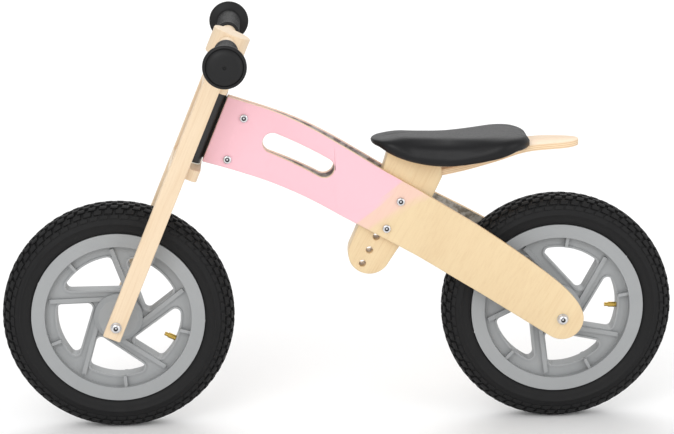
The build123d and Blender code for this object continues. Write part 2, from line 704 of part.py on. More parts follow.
def seat_base_face():
    """Side view of the curved plywood base."""
    low = base_underside()
    high = [(x, z + BASE_THICKNESS) for x, z in low]
    under = Spline(*low)
    over = Spline(*high)
    return make_face([under, Line(low[-1], high[-1]), over, Line(low[0], high[0])])


def plan_outline(inset):
    """Top view of the seat, a narrow nose and a broad rounded rear, set in all round."""
    nose = SEAT_X - SEAT_NOSE_REACH + SEAT_NOSE_RADIUS
    rear = SEAT_X + SEAT_REAR_REACH - SEAT_REAR_RADIUS
    side = SEAT_HALF_WIDTH - SEAT_REAR_RADIUS
    rounds = Pos(nose, 0) * Circle(SEAT_NOSE_RADIUS - inset)
    for y in (-side, side):
        rounds += Pos(rear, y) * Circle(SEAT_REAR_RADIUS - inset)
    return make_hull(rounds.edges())


def seat_base():
    """Curved plywood base inside the cushion."""
    plan = extrude(plan_outline(BASE_INSET), 3 * CHORD)
    base = plan & side_solid(seat_base_face(), 200)
    for screw in seat_screw_list():
        base -= screw
    return base


def seat_board_line():
    """Side-view points along the top of the tail board, front first."""
    front = [(40, 66), (71, 70.5), (100, 77), (126, 85.5)]
    points = front + [(150, 94), (173, 101.8), (200, 105), (246.5, 106.5)]
    return [seat_point(*p) for p in points]


def seat_board():
    """Bent plywood tongue from the post to the tail."""
    high = seat_board_line()
    low = [(x, z - BOARD_THICKNESS) for x, z in high]
    side_view = make_face([
        Spline(*high), Line(high[-1], low[-1]), Spline(*low), Line(low[0], high[0]),
    ])
    front, back = high[0][0], high[-1][0]
    narrow, wide = BOARD_FRONT_HALF_WIDTH, BOARD_TAIL_HALF_WIDTH
    flare = [(front + 34, narrow), (front + 90, (narrow + wide) / 2 + 2), (back - 60, wide), (back, 0)]
    upper = Spline(*flare, tangents=[(1, 0), (0, -1)])
    lower = Spline(*[(x, -y) for x, y in flare], tangents=[(1, 0), (0, 1)])
    sides = [
        upper, lower, Line((front, narrow), flare[0]),
        Line((front, -narrow), (flare[0][0], -narrow)), Line((front, -narrow), (front, narrow)),
    ]
    board = extrude(make_face(sides), 3 * CHORD) & side_solid(side_view, 100)
    board -= side_solid(seat_base_face(), 100)
    for screw in seat_screw_list():
        board -= screw
    return board


def seat_screw_list():
    """Two screws down into the post and two up through the tail board."""
    screws = []
    for dx, dz in ((22, 91.0), (56, 86.0)):
        x, z = seat_point(dx, dz)
        screw = rod_up(SCREW_RADIUS, z - 24, z + BASE_THICKNESS - 2, x)
        seat = z + BASE_THICKNESS - 4
        screw += rod_up(SCREW_HEAD_RADIUS, seat, seat + SCREW_HEAD_HEIGHT, x)
        screws.append(screw)
    for y in (-12, 12):
        x, z = seat_point(164, 91.0)
        screw = rod_up(SCREW_RADIUS, z, z + BOARD_THICKNESS + 4, x, y)
        screw += rod_up(SCREW_HEAD_RADIUS, z - SCREW_HEAD_HEIGHT + 0.8, z + 0.8, x, y)
        screws.append(screw)
    return screws


def seat_post():
    """Tapered wooden post with a rounded foot and a row of height holes."""
    foot = seat_point(*POST_LOBE)
    left = seat_point(-3.5, 74)
    left_top = seat_point(10, 120)
    right_top = seat_point(67, 120)
    right_mid = seat_point(71.5, 62)
    right = seat_point(59, 36)
    back_way = POST_TILT
    low_left = (
        foot[0] - POST_LOBE_RADIUS * math.cos(back_way),
        foot[1] + POST_LOBE_RADIUS * math.sin(back_way),
    )
    low_right = (
        foot[0] + POST_LOBE_RADIUS * math.cos(back_way),
        foot[1] - POST_LOBE_RADIUS * math.sin(back_way),
    )
    low = (
        foot[0] - POST_LOBE_RADIUS * math.sin(back_way),
        foot[1] - POST_LOBE_RADIUS * math.cos(back_way),
    )
    outline = make_face([
        Polyline(low_left, left, left_top, right_top, right_mid, right, low_right),
        ThreePointArc(low_right, low, low_left),
    ])
    post = side_solid(outline, SEAT_Y)
    under = base_underside()
    cut = make_face([
        Spline(*under), Line(under[-1], (under[-1][0], under[-1][1] + 80)),
        Line((under[-1][0], under[-1][1] + 80), (under[0][0], under[0][1] + 80)),
        Line((under[0][0], under[0][1] + 80), under[0]),
    ])
    post -= side_solid(cut, 100)
    for step in range(-HOLES_BELOW_BOLTS, 3):
        radius = BOLT_RADIUS + BOLT_FIT if step in (0, 2) else HOLE_RADIUS
        post -= rod_y(radius, -SEAT_Y, SEAT_Y, post_hole(step))
    post -= seat_board()
    for screw in seat_screw_list():
        post -= screw
    return post


def seat_cushion():
    """Padded seat, closed and plain, with a recess for the base, board and post."""
    lower = [(-19, 112), (5, 95), (35, 85), (70, 81), (115, 86), (165, 100), (188, 112)]
    upper = [(188, 112), (176, 121), (150, 122), (70, 117.5), (20, 119.5), (-10, 117), (-19, 112)]
    side_view = make_face([
        Spline(*[seat_point(*p) for p in lower]),
        Spline(*[seat_point(*p) for p in upper]),
    ])
    pad = extrude(plan_outline(0), 3 * CHORD) & side_solid(side_view, 100)
    low = [(x, z - 30) for x, z in base_underside()]
    high = [(x, z + BASE_THICKNESS + SOFT_GAP) for x, z in base_underside()]
    recess = make_face([
        Spline(*low), Line(low[-1], high[-1]), Spline(*high), Line(high[0], low[0]),
    ])
    return pad - (extrude(plan_outline(BASE_INSET - SOFT_GAP), 3 * CHORD) & side_solid(recess, 100))


# ---- build every node ----
def build_frame():
    """Nodes of the frame body."""
    panel = right_panel()
    save("right_frame_panel", panel)
    save("left_frame_panel", mirror(panel, Plane.XZ))
    save("head_bracket", head_bracket())
    save("upper_head_bushing", bushing(TUBE_TOP + BUSHING_FLANGE, 1))
    save("lower_head_bushing", bushing(TUBE_BASE - BUSHING_FLANGE, -1))
    for name, points, half in (
        ("head", head_bolt_points(), HEAD_Y), ("seat", seat_bolt_points(), SEAT_Y),
    ):
        face = half + PANEL_THICKNESS
        bolts = [
            button_bolt(BOLT_RADIUS, BOLT_HEAD_RADIUS, BOLT_HEAD_HEIGHT, -face, face + 4.0, p)
            for p in points
        ]
        save(f"{name}_bolts", group(bolts))
        save(f"{name}_nuts", group([cap_nut(face, p, BOLT_RADIUS) for p in points]))
    save("seat_post", seat_post())
    save("seat_board", seat_board())
    save("seat_base", seat_base())
    save("seat_screws", group(seat_screw_list()))
    save("seat_cushion", seat_cushion())


def build_fork():
    """Nodes of the fork body."""
    save("left_fork_leg", fork_leg(-1))
    save("right_fork_leg", fork_leg(1))
    save("lower_crown", lower_crown())
    save("upper_crown", upper_crown())
    dowels = [crown_dowel(*p) for side in (-1, 1) for p in crown_dowel_places(side)]
    save("crown_dowels", group([FORK.location * d for d in dowels]))
    save("steering_pin", steering_pin())
    save("steering_nut", steering_nut())
    save("stem_block", stem_block())
    save("stem_fasteners", group([FORK.location * f for f in stem_fasteners()]))
    save("handlebar", handlebar())
    grip = right_grip()
    save("right_grip", grip)
    save("left_grip", mirror(grip, Plane.XZ))


def build_wheels():
    """Nodes of both wheels and their axles."""
    wheels = (
        ("front", -REAR_X, FRONT_PHASE, FORK_HALF_GAP, LEG_THICKNESS),
        ("rear", REAR_X, REAR_PHASE, REAR_HALF_GAP, PANEL_THICKNESS),
    )
    for name, x, phase, gap, wall in wheels:
        place = Pos(x, 0, TYRE_RADIUS)
        save(f"{name}_rim", place * rim(phase))
        save(f"{name}_tyre", place * tyre())
        save(f"{name}_inner_tube", place * inner_tube())
        save(f"{name}_valve", place * valve(phase))
        save(f"{name}_hub_bearings", group([place * b for b in hub_bearings()]))
        for part_name, part in axle_parts(gap, wall, (x, TYRE_RADIUS)).items():
            save(f"{name}_axle_{part_name}", part)


build_frame()
build_fork()
build_wheels()
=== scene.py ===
import math
import random

import bmesh
import bpy
import numpy as np
from mathutils import Matrix, Vector
from mathutils.bvhtree import BVHTree


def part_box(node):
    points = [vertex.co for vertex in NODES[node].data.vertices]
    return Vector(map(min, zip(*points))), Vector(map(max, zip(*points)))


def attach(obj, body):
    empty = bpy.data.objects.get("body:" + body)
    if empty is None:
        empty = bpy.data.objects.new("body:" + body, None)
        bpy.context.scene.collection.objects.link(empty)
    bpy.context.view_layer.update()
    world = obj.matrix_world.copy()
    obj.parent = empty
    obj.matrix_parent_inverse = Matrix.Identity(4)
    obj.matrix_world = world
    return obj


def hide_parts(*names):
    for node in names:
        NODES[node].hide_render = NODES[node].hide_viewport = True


bl_info = {
    "name": "Wooden Balance Bike",
    "version": (1, 0, 0),
    "blender": (4, 5, 0),
    "location": "View3D > Sidebar > Bike",
    "description": "Finishes and soft parts for a wooden balance bike around its packed frame",
    "category": "Object",
}

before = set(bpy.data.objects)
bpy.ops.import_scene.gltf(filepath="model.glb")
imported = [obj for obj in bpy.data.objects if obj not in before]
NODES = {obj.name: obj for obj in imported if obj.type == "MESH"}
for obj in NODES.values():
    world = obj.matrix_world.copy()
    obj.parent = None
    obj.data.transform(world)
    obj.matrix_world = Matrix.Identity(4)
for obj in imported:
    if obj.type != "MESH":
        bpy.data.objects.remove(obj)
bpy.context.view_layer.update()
MM = 0.001


def srgb(red, green, blue):
    """Linear colour from 0 to 255 display values."""
    out = []
    for part in (red, green, blue):
        value = part / 255
        out.append(value / 12.92 if value <= 0.04045 else ((value + 0.055) / 1.055) ** 2.4)
    return (*out, 1.0)


# ---------------------------------------------------------------- shader maths
class Wire:
    """One shader socket that Python expressions can use."""

    def __init__(self, finish, socket, vector=False):
        self.finish = finish
        self.socket = socket
        self.vector = vector

    def _calc(self, operation, first, second):
        if self.vector:
            return self.finish.vector_math(operation, first, second)
        return self.finish.maths(operation, first, second)

    def __add__(self, other):
        return self._calc("ADD", self, other)

    def __radd__(self, other):
        return self._calc("ADD", other, self)

    def __sub__(self, other):
        return self._calc("SUBTRACT", self, other)

    def __rsub__(self, other):
        return self._calc("SUBTRACT", other, self)

    def __mul__(self, other):
        return self._calc("MULTIPLY", self, other)

    def __rmul__(self, other):
        return self._calc("MULTIPLY", other, self)


class Finish:
    """A material and the one place that adds nodes to it."""

    def __init__(self, name, roughness, metallic=0.0, coat=0.0, specular=0.5):
        self.material = bpy.data.materials.new(name)
        self.material.use_nodes = True
        self.tree = self.material.node_tree
        self.tree.nodes.clear()
        self.skin = self.tree.nodes.new("ShaderNodeBsdfPrincipled")
        out = self.tree.nodes.new("ShaderNodeOutputMaterial")
        self.tree.links.new(self.skin.outputs["BSDF"], out.inputs["Surface"])
        self.skin.inputs["Roughness"].default_value = roughness
        self.skin.inputs["Metallic"].default_value = metallic
        self.skin.inputs["Coat Weight"].default_value = coat
        self.skin.inputs["Coat Roughness"].default_value = 0.25
        self.skin.inputs["Specular IOR Level"].default_value = specular

    def add(self, kind, choices=None, inputs=None, out=0, vector=False):
        """One node, its settings first, then the values or links of its sockets."""
        node = self.tree.nodes.new(kind)
        for key, value in (choices or {}).items():
            setattr(node, key, value)
        for key, value in (inputs or {}).items():
            self.put(node.inputs[key], value)
        return Wire(self, node.outputs[out], vector)

    def put(self, socket, value):
        """Link or set one socket."""
        if isinstance(value, Wire):
            self.tree.links.new(value.socket, socket)
        else:
            socket.default_value = value

    def set(self, name, value):
        """Link or set a socket of the surface shader."""
        self.put(self.skin.inputs[name], value)

    def maths(self, operation, first, second=0.0):
        """A Math node on numbers."""
        return self.add("ShaderNodeMath", {"operation": operation}, {0: first, 1: second})

    def vector_math(self, operation, first, second):
        """A Vector Math node."""
        return self.add(
            "ShaderNodeVectorMath", {"operation": operation}, {0: first, 1: second}, vector=True)

    def mix(self, share, first, second):
        """A colour between two."""
        return self.add(
            "ShaderNodeMix", {"data_type": "RGBA", "clamp_factor": True},
            {0: share, 6: first, 7: second}, out=2,
        )

    def step(self, value, low, high):
        """A smooth 0 to 1 mask between two values."""
        return self.add(
            "ShaderNodeMapRange", {"interpolation_type": "SMOOTHSTEP"},
            {"Value": value, "From Min": low, "From Max": high},
        )

    def place(self):
        """The point in the row frame, in metres."""
        return self.add("ShaderNodeTexCoord", out="Object", vector=True)

    def part(self, vector, axis):
        """One component of a vector."""
        return self.add("ShaderNodeSeparateXYZ", None, {"Vector": vector}, out=axis)

    def turned(self, vector, angle):
        """The vector turned about Y, so that a slope in the side view lies along X."""
        return self.add(
            "ShaderNodeVectorRotate", {"rotation_type": "Y_AXIS"},
            {"Vector": vector, "Angle": angle}, vector=True,
        )

    def noise(self, vector, scale, detail=3.0, roughness=0.55, distortion=0.0):
        """Fractal noise from 0 to 1."""
        return self.add("ShaderNodeTexNoise", None, {
            "Vector": vector, "Scale": scale, "Detail": detail,
            "Roughness": roughness, "Distortion": distortion,
        })

    def cells(self, vector, scale):
        """Distance in a cell pattern."""
        return self.add("ShaderNodeTexVoronoi", {"feature": "F1"}, {"Vector": vector, "Scale": scale})

    def bump(self, height, strength, distance):
        """Surface relief from a height."""
        relief = self.add("ShaderNodeBump", None, {
            "Height": height, "Strength": strength, "Distance": distance,
        }, vector=True)
        self.set("Normal", relief)


# ---------------------------------------------------------------- sizes a user may change
def colour_property(label, text, value):
    """A colour setting."""
    return bpy.props.FloatVectorProperty(
        name=label, description=text, subtype="COLOR", size=4, min=0, max=1, default=value)


def length_property(label, text, value):
    """A length setting, in metres."""
    return bpy.props.FloatProperty(
        name=label, description=text, default=value, min=0, subtype="DISTANCE", unit="LENGTH")


class WoodSettings(bpy.types.PropertyGroup):
    """Colours of the wooden parts."""

    birch: colour_property("Birch", "Bare frame panels and seat post", srgb(225, 201, 160))
    beech: colour_property("Beech", "Fork, crowns, stem and handlebar", srgb(228, 206, 176))
    grain: colour_property("Grain", "Darker streaks in the wood", srgb(196, 158, 112))
    paint: colour_property("Paint", "Painted front of the frame", srgb(240, 188, 200))
    tail: colour_property("Tail board", "Bent tail board behind the seat", srgb(238, 211, 180))


class WheelSettings(bpy.types.PropertyGroup):
    """Sizes and colours of the wheels."""

    plastic: colour_property("Plastic", "Moulded wheel", srgb(158, 160, 161))
    rubber: colour_property("Rubber", "Tyres", srgb(13, 13, 14))
    block_height: length_property("Block height", "How far the tread blocks stand out", 3.2 * MM)
    blocks: bpy.props.IntProperty(
        name="Blocks", description="Blocks in each row round the tyre", default=64)


class SeatSettings(bpy.types.PropertyGroup):
    """Padding of the seat."""

    leather: colour_property("Cover", "Synthetic leather cover", srgb(15, 15, 17))
    pressure: bpy.props.FloatProperty(
        name="Pressure", description="Air pressure of the padding", default=3.0)
    swell: length_property("Swell", "Furthest that the padding may swell", 2.5 * MM)
    sink: length_property("Sink", "How far the padded top lies under the blank's top", 3.5 * MM)


def settings(name):
    """One group of the scene's bike settings."""
    return getattr(bpy.context.scene, name)


# ---------------------------------------------------------------- mesh helpers
SHARP_EDGE = math.radians(32)   # edges over this angle are rounded
PROFILE_STEPS = 48              # rays along a node's profile
PROFILE_END = 0.004             # share of the length that the rays keep clear of at each end
RAY_START = 100 * MM            # how far outside the node a ray starts


def new_piece(name, verts, faces, smooth=True):
    """A mesh object in the scene."""
    mesh = bpy.data.meshes.new(name)
    mesh.from_pydata([tuple(v) for v in verts], [], faces)
    mesh.validate()
    piece = bpy.data.objects.new(name, mesh)
    bpy.context.scene.collection.objects.link(piece)
    if smooth:
        mesh.shade_smooth()
    return piece


def finish_piece(piece, body, material, stands_for):
    """Give a new piece its material and body, and hide the CAD nodes that it stands for."""
    piece.data.materials.clear()
    piece.data.materials.append(material)
    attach(piece, body)
    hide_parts(*stands_for)


def sharp_smooth(mesh, degrees):
    """Smooth shading that keeps edges over an angle."""
    mesh.shade_smooth()
    mesh.set_sharp_from_angle(angle=math.radians(degrees))


def apply_modifiers(piece):
    """Bake a piece's modifiers into its mesh."""
    graph = bpy.context.evaluated_depsgraph_get()
    mesh = bpy.data.meshes.new_from_object(piece.evaluated_get(graph))
    piece.modifiers.clear()
    piece.data = mesh


def mesh_points(piece):
    """An object's vertices as an array."""
    points = np.zeros(len(piece.data.vertices) * 3, np.float32)
    piece.data.vertices.foreach_get("co", points)
    return points.reshape(-1, 3).astype(float)


def profile_line(node, down, side=None):
    """Height of a CAD node's top (down) or underside along X, on its middle plane or nearer a side."""
    mesh = NODES[node].data
    tree = BVHTree.FromPolygons([v.co for v in mesh.vertices], [tuple(f.vertices) for f in mesh.polygons])
    low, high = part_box(node)
    xs, zs = [], []
    for i in range(PROFILE_STEPS + 1):
        x = low.x + (high.x - low.x) * (PROFILE_END + (1 - 2 * PROFILE_END) * i / PROFILE_STEPS)
        y = side(x) if side else 0.0
        start = Vector((x, y, high.z + RAY_START if down else low.z - RAY_START))
        hit = tree.ray_cast(start, Vector((0, 0, -1.0 if down else 1.0)))[0]
        if hit:
            xs.append(x)
            zs.append(hit.z)
    return xs, zs


def eased_copy(node, width, segments=2):
    """A copy of a CAD node with its sharp edges rounded over."""
    mesh = NODES[node].data.copy()
    piece = bpy.data.objects.new(node + "_eased", mesh)
    bpy.context.scene.collection.objects.link(piece)
    shape = bmesh.new()
    shape.from_mesh(mesh)
    bmesh.ops.remove_doubles(shape, verts=shape.verts, dist=2e-6)
    bmesh.ops.dissolve_limit(
        shape, angle_limit=math.radians(0.8), verts=shape.verts, edges=shape.edges,
        delimit={"NORMAL"})
    edges = [
        e for e in shape.edges
        if len(e.link_faces) == 2 and e.calc_face_angle(0) > SHARP_EDGE
    ]
    bmesh.ops.bevel(
        shape, geom=edges, offset=width, offset_type="OFFSET", segments=segments,
        profile=0.5, affect="EDGES", clamp_overlap=False)
    shape.to_mesh(mesh)
    shape.free()
    sharp_smooth(mesh, 40)
    return piece


def clean_mesh(mesh, merge=0.0):
    """Merge vertices that lie together and turn every face outwards."""
    shape = bmesh.new()
    shape.from_mesh(mesh)
    if merge:
        bmesh.ops.remove_doubles(shape, verts=shape.verts, dist=merge)
    bmesh.ops.recalc_face_normals(shape, faces=shape.faces)
    shape.to_mesh(mesh)
    shape.free()


def lathe(name, profile, turns, place):
    """A turned piece about Y from (radius, y) points, moved to its place."""
    verts, faces = [], []
    count = len(profile)
    for i in range(turns):
        angle = 2 * math.pi * i / turns
        for radius, y in profile:
            verts.append(Vector((radius * math.cos(angle), y, radius * math.sin(angle))) + Vector(place))
    for i in range(turns):
        for j in range(count - 1):
            a, b = i * count + j, i * count + j + 1
            c, d = ((i + 1) % turns) * count + j + 1, ((i + 1) % turns) * count + j
            faces.append((a, b, c, d))
    piece = new_piece(name, verts, faces)
    clean_mesh(piece.data, 1e-6)
    return piece


# ---------------------------------------------------------------- finishes
PANEL_GRAIN = math.radians(60)
POST_GRAIN = math.radians(62)
BOARD_GRAIN = math.radians(14)
FORK_GRAIN = math.radians(67.2)
PAINT_STROKES = math.radians(34)
PAINT_ENDS = (                  # slope, share of the paint, and where it starts and is full
    (math.radians(42), 0.56, 179.0 * MM, 184.5 * MM),
    (math.radians(30.6), 0.44, 195.5 * MM, 210.0 * MM),
)


def wood_grain(finish, slope, light, dark, contrast):
    """Long streaks and fine pores along a slope of the side view, as colour and height."""
    along = finish.turned(finish.place(), slope)
    broad = finish.noise(along * (5.0, 42.0, 42.0), 1.0, 4.0, 0.55, 0.6)
    streak = finish.noise(along * (14.0, 420.0, 420.0), 1.0, 4.0, 0.6, 0.15)
    pores = finish.step(finish.noise(along * (150.0, 1500.0, 1500.0), 1.0, 1.0), 0.62, 0.72)
    share = (
        finish.step(broad, 0.35, 0.75) * (0.20 * contrast)
        + finish.step(streak, 0.42, 0.72) * (0.26 * contrast)
        + pores * (0.16 * contrast)
    )
    colour = finish.mix(share, light, dark)
    return colour, streak * 0.6 - pores * 0.8


def wood_material(name, light, dark, slope, contrast=1.0):
    """Clear-lacquered solid wood."""
    finish = Finish(name, 0.42, coat=0.12)
    colour, height = wood_grain(finish, slope, light, dark, contrast)
    finish.set("Base Color", colour)
    finish.set("Roughness", height * 0.08 + 0.42)
    finish.bump(height, 0.25, 0.0002)
    return finish.material


def ply_stripes(finish, colour, depth, layers, edge):
    """Alternating veneers on the cut edges of plywood. depth runs from 0 to 1 through the sheet."""
    wave = finish.maths("SINE", depth * (math.pi * layers), 0.0)
    dark = finish.step(wave, -0.25, 0.25)
    tint = finish.mix(dark, srgb(206, 168, 122), srgb(238, 214, 176))
    return finish.mix(edge, colour, tint)


def panel_material(name, wood):
    """Bent plywood panel, painted at the front and fading to bare wood in two steps, with painted shade on
    its inner face.
    """
    finish = Finish(name, 0.40, coat=0.15)
    bare, height = wood_grain(finish, PANEL_GRAIN, wood.birch, wood.grain, 0.62)
    place = finish.place()
    x, z = finish.part(place, 0), finish.part(place, 2)
    brushed = finish.turned(place, PAINT_STROKES)
    strokes = (finish.noise(brushed * (9.0, 150.0, 150.0), 1.0, 3.0) - 0.5) * 0.014
    painted = 0.0
    for slope, share, start, end in PAINT_ENDS:
        across = z * math.cos(slope) - x * math.sin(slope)
        painted = finish.step(across + strokes, start, end) * share + painted
    paint = finish.mix(height * 0.12 + 0.02, wood.paint, srgb(238, 178, 192))
    face = finish.mix(painted * 0.96, bare, paint)
    depth = finish.add("ShaderNodeAttribute", {"attribute_name": "ply_depth"}, out="Fac")
    edge = finish.step(depth, 0.06, 0.12) * (1.0 - finish.step(depth, 0.88, 0.94))
    colour = ply_stripes(finish, face, depth, 7.0, edge)
    # Inner faces are painted a mottled grey: painted shade for the shade between the two panels, with dark
    # blotches on the wood.
    inner = 1.0 - finish.step(depth, 0.02, 0.06)
    mottle = finish.step(finish.noise(place * (1.0, 1.0, 1.6), 95.0, 4.0, 0.65), 0.40, 0.60)
    shade_and_blotches = finish.mix(mottle, srgb(104, 98, 90), srgb(172, 170, 165))
    colour = finish.mix(inner * 0.92, colour, shade_and_blotches)
    finish.set("Base Color", colour)
    finish.set("Roughness", 0.46 - painted * 0.08)
    finish.bump(height * (1.0 - painted * 0.7), 0.22, 0.0002)
    return finish.material


def sheet_material(name, light, dark, slope):
    """Plywood board with layered edges, its depth kept on the mesh."""
    finish = Finish(name, 0.42, coat=0.12)
    colour, height = wood_grain(finish, slope, light, dark, 0.8)
    depth = finish.add("ShaderNodeAttribute", {"attribute_name": "ply_depth"}, out="Fac")
    edge = finish.step(depth, 0.06, 0.12) * (1.0 - finish.step(depth, 0.88, 0.94))
    finish.set("Base Color", ply_stripes(finish, colour, depth, 7.0, edge * 0.7))
    finish.bump(height, 0.2, 0.0002)
    return finish.material


def plastic_material(name, colour, grey_shift=0.1, roughness=0.46):
    """Moulded plastic with a fine spark-eroded texture."""
    finish = Finish(name, roughness)
    place = finish.place()
    cloud = finish.noise(place, 26.0, 3.0)
    grain = finish.noise(place, 2600.0, 2.0)
    dark = tuple(c * (1 - grey_shift) for c in colour[:3]) + (1.0,)
    finish.set("Base Color", finish.mix(cloud * 0.8 + grain * 0.2, colour, dark))
    finish.set("Roughness", grain * 0.14 + (roughness - 0.07))
    finish.bump(grain, 0.2, 0.00012)
    return finish.material


def rubber_material(name, colour, roughness, dust=0.25):
    """Black rubber with faint bloom and dust."""
    finish = Finish(name, roughness, specular=0.3)
    place = finish.place()
    bloom = finish.step(finish.noise(place, 38.0, 4.0), 0.42, 0.75)
    fine = finish.noise(place, 1900.0, 2.0)
    grey = tuple(min(1.0, c * 2.1 + 0.004) for c in colour[:3]) + (1.0,)
    finish.set("Base Color", finish.mix(bloom * dust + fine * 0.12, colour, grey))
    finish.set("Roughness", bloom * 0.10 + roughness)
    finish.bump(fine, 0.18, 0.00015)
    return finish.material


def metal_material(name, colour, roughness):
    """Plated or machined metal with fine marks."""
    finish = Finish(name, roughness, metallic=1.0)
    place = finish.place()
    marks = finish.noise(place * (1.0, 0.25, 1.0), 1500.0, 2.0)
    cloud = finish.noise(place, 120.0, 3.0)
    dark = tuple(c * 0.72 for c in colour[:3]) + (1.0,)
    finish.set("Base Color", finish.mix(cloud * 0.5 + marks * 0.3, colour, dark))
    finish.set("Roughness", marks * 0.16 + (roughness - 0.06))
    finish.bump(marks, 0.1, 0.00005)
    return finish.material


def bolt_material(name, centres):
    """Zinc plate with a dark ring of painted shade for the hexagon socket round each of the (x, z) axes."""
    finish = Finish(name, 0.28, metallic=1.0)
    place = finish.place()
    x, z = finish.part(place, 0), finish.part(place, 2)
    # Painted shade: a dark ring round each axis stands for the shade inside the hexagon socket.
    dark = 0.0
    for centre_x, centre_z in centres:
        gap_x, gap_z = x - centre_x, z - centre_z
        away = finish.maths("SQRT", gap_x * gap_x + gap_z * gap_z)
        ring = finish.step(away, 0.9 * MM, 1.4 * MM) * (1.0 - finish.step(away, 2.6 * MM, 3.3 * MM))
        dark = ring + dark
    marks = finish.noise(place, 1800.0, 2.0)
    plate = finish.mix(marks * 0.4, srgb(226, 226, 228), srgb(188, 188, 192))
    finish.set("Base Color", finish.mix(dark * 0.92, plate, srgb(26, 24, 24)))
    finish.set("Roughness", marks * 0.12 + dark * 0.25 + 0.22)
    finish.bump(marks, 0.08, 0.00005)
    return finish.material


def valve_material(name, centre):
    """Brass stem with a black rubber foot next to the rim."""
    finish = Finish(name, 0.3, metallic=1.0)
    place = finish.place()
    x, z = finish.part(place, 0) - centre.x, finish.part(place, 2) - centre.z
    away = finish.maths("SQRT", x * x + z * z)
    marks = finish.noise(place, 1500.0, 2.0)
    thread = finish.step(finish.maths("SINE", away * 7800.0), -0.3, 0.3)
    brass = finish.mix(marks * 0.4 + thread * 0.25, srgb(214, 182, 96), srgb(150, 118, 52))
    foot = finish.step(away, 86.5 * MM, 87.0 * MM)
    finish.set("Base Color", finish.mix(foot, brass, srgb(14, 14, 14)))
    finish.set("Roughness", foot * 0.35 + 0.26)
    finish.bump(thread * (1.0 - foot), 0.2, 0.0001)
    return finish.material


def bolt_axes(node, count):
    """(x, z) of the bolts in a node, from the vertices either side of its middle height."""
    points = mesh_points(NODES[node])
    middle = (points[:, 2].min() + points[:, 2].max()) / 2
    groups = [points] if count == 1 else [points[points[:, 2] < middle], points[points[:, 2] >= middle]]
    return [tuple(float(v) for v in (g.min(axis=0) + g.max(axis=0))[[0, 2]] / 2) for g in groups]


def leather_material(name, colour):
    """Satin synthetic leather with a fine pebble grain."""
    finish = Finish(name, 0.42, coat=0.02, specular=0.24)
    place = finish.place()
    warp = finish.noise(place, 260.0, 2.0)
    pebble = finish.cells(place, 620.0) * 0.7 + warp * 0.5
    wear = finish.step(finish.noise(place, 18.0, 3.0), 0.45, 0.8)
    grey = tuple(c * 1.8 + 0.003 for c in colour[:3]) + (1.0,)
    finish.set("Base Color", finish.mix(wear * 0.35 + pebble * 0.12, colour, grey))
    finish.set("Roughness", pebble * 0.14 + 0.34)
    finish.bump(pebble, 0.35, 0.00022)
    return finish.material


def powder_material(name):
    """Satin black powder coat with a light orange peel."""
    finish = Finish(name, 0.42, specular=0.5)
    place = finish.place()
    peel = finish.noise(place, 700.0, 2.0)
    finish.set("Base Color", finish.mix(peel, srgb(20, 20, 21), srgb(38, 38, 40)))
    finish.set("Roughness", peel * 0.15 + 0.34)
    finish.bump(peel, 0.25, 0.0002)
    return finish.material


def coat_node(node, material):
    """Give a CAD node that is shown as it is its material."""
    mesh = NODES[node].data
    mesh.materials.clear()
    mesh.materials.append(material)


# ---------------------------------------------------------------- plywood pieces
PANEL_EDGE = 1.6 * MM           # how far the cut edges are rounded over
POST_EDGE = 1.2 * MM
BOARD_EDGE = 0.9 * MM


def store_depth(piece, values):
    """Keep how deep each vertex lies in the plywood."""
    layer = piece.data.attributes.new("ply_depth", "FLOAT", "POINT")
    layer.data.foreach_set("value", np.clip(values, 0, 1).astype(np.float32))


def sheet_line(node, across, sign, want):
    """One face of a bent sheet as a value for each X, from the faces turned that way."""
    mesh = NODES[node].data
    found = {}
    for face in mesh.polygons:
        if face.normal[across] * sign * want > 0.6:
            for index in face.vertices:
                point = mesh.vertices[index].co
                found[round(point.x, 5)] = point[across] * sign
    xs = sorted(found)
    return xs, [found[x] for x in xs]


def ply_depth_across(piece, node, across, sign=1.0):
    """Depth of each vertex between the sheet's two faces, measured along one axis."""
    points = mesh_points(piece)
    bottom = np.interp(points[:, 0], *sheet_line(node, across, sign, -1.0))
    top = np.interp(points[:, 0], *sheet_line(node, across, sign, 1.0))
    return (points[:, across] * sign - bottom) / np.maximum(top - bottom, 1e-5)


class BIKE_OT_frame_panels(bpy.types.Operator):
    """Rounds the panels' edges and paints their front"""

    bl_idname = "bike.frame_panels"
    bl_label = "Frame panels"

    def execute(self, context):
        for node, side in (("left_frame_panel", -1.0), ("right_frame_panel", 1.0)):
            piece = eased_copy(node, PANEL_EDGE, 3)
            store_depth(piece, ply_depth_across(piece, node, 1, side))
            material = panel_material(node + "_finish", settings("bike_wood"))
            finish_piece(piece, "frame", material, [node])
        return {"FINISHED"}


class BIKE_OT_seat_wood(bpy.types.Operator):
    """Finishes the seat post, tail board and base"""

    bl_idname = "bike.seat_wood"
    bl_label = "Seat post and boards"

    def execute(self, context):
        wood = settings("bike_wood")
        post = eased_copy("seat_post", POST_EDGE)
        material = wood_material("post_finish", wood.birch, wood.grain, POST_GRAIN)
        finish_piece(post, "frame", material, ["seat_post"])
        board = eased_copy("seat_board", BOARD_EDGE)
        store_depth(board, ply_depth_across(board, "seat_board", 2))
        tail = sheet_material("board_finish", wood.tail, wood.grain, BOARD_GRAIN)
        finish_piece(board, "frame", tail, ["seat_board"])
        coat_node("seat_base", tail)
        return {"FINISHED"}


class BIKE_OT_fork_wood(bpy.types.Operator):
    """Finishes the fork legs, crowns, stem block and handlebar"""

    bl_idname = "bike.fork_wood"
    bl_label = "Fork and handlebar wood"

    def execute(self, context):
        wood = settings("bike_wood")
        legs = wood_material("leg_finish", wood.beech, wood.grain, FORK_GRAIN, 0.85)
        for node in ("left_fork_leg", "right_fork_leg"):
            coat_node(node, legs)
        turned = wood_material("turned_finish", wood.beech, wood.grain, FORK_GRAIN, 0.75)
        for node in ("lower_crown", "upper_crown", "stem_block", "handlebar", "crown_dowels"):
            coat_node(node, turned)
        return {"FINISHED"}


